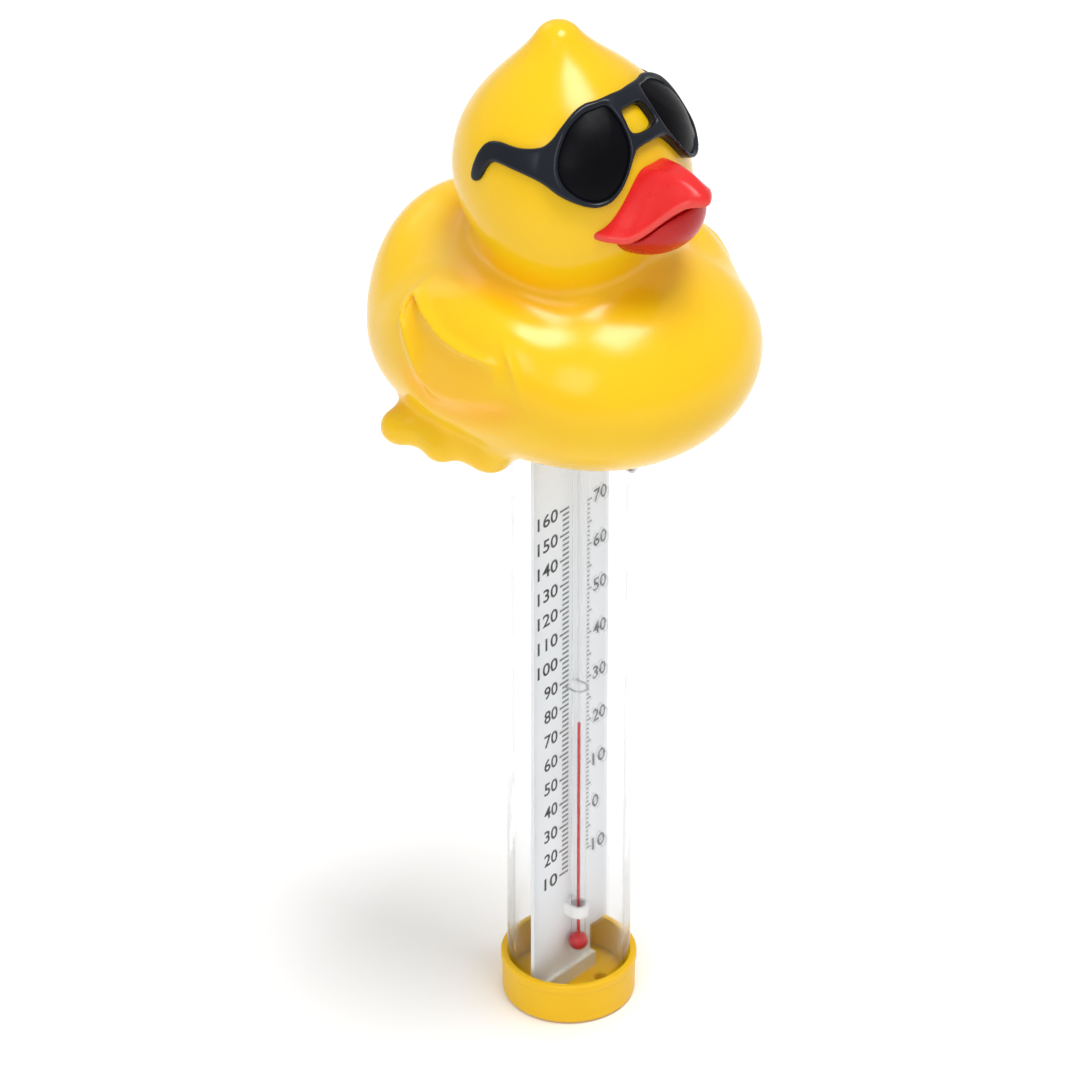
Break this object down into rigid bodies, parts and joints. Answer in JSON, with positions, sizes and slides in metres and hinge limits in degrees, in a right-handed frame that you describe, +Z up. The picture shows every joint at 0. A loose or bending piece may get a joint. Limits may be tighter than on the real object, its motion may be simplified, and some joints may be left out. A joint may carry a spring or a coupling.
{
  "type": "floating pool thermometer",
  "caption": "Hollow vinyl duck float with a clear tube below it that holds a dual scale card and a red spirit thermometer, standing in a yellow base cap.",
  "frame": {"origin": "centre of the base cap's flat underside", "axes": "+Z up along the tube's axis; the duck and the card's printed side face -Y; +X is the duck's left"},
  "size_m": [0.0776, 0.0892, 0.2468],
  "materials": {
    "duck_vinyl": "soft glossy yellow vinyl, slightly translucent",
    "glasses_black": "glossy blue-black paint on raised relief",
    "lens_black": "deep gloss black",
    "bill_red": "glossy red",
    "mouth_red": "darker glossy red",
    "socket_plastic": "moulded plastic, hidden",
    "eyelet_steel": "plated wire eye",
    "cap_vinyl": "satin yellow vinyl",
    "clear_plastic": "clear extruded tube",
    "card_white": "printed plastic card, satin",
    "foot_white": "off-white moulded block",
    "plug_white": "moulded plug, hidden",
    "seal_rubber": "black rubber ring",
    "stem_glass": "clear drawn glass",
    "red_spirit": "dyed spirit",
    "clip_white": "white moulded saddle",
    "tie_wire": "thin soft wire"
  },
  "bodies": {
    "tube": {"clear_tube": "clear_plastic", "scale_card": "card_white", "card_foot": "foot_white", "tube_top_plug": "plug_white", "seal_ring": "seal_rubber", "glass_stem": "stem_glass", "bulb_spirit": "red_spirit", "lower_stem_clip": "clip_white", "stem_wire_tie": "tie_wire"},
    "cap": {"base_cap": "cap_vinyl"},
    "spirit": {"spirit_column": "red_spirit", "spirit_meniscus": "red_spirit"},
    "float": {"float_socket": "socket_plastic", "float_shell": "duck_vinyl", "sunglasses_frame": "glasses_black", "right_lens": "lens_black", "left_lens": "lens_black", "upper_bill": "bill_red", "lower_bill": "mouth_red", "tether_eyelet": "eyelet_steel"}
  },
  "joints": [
    {"name": "float_swivel", "type": "hinge", "parent": "tube", "child": "float", "pos_m": [0, 0, 0.165], "axis": [0, 0, 1], "continuous": true},
    {"name": "spirit_rise", "type": "slide", "parent": "tube", "child": "spirit", "axis": [0, 0, 1], "range_m": [-0.0406, 0.056], "deforming": ["spirit_column"]},
    {"name": "cap_pull", "type": "slide", "parent": "tube", "child": "cap", "axis": [0, 0, -1], "range_m": [0, 0.012]}
  ]
}
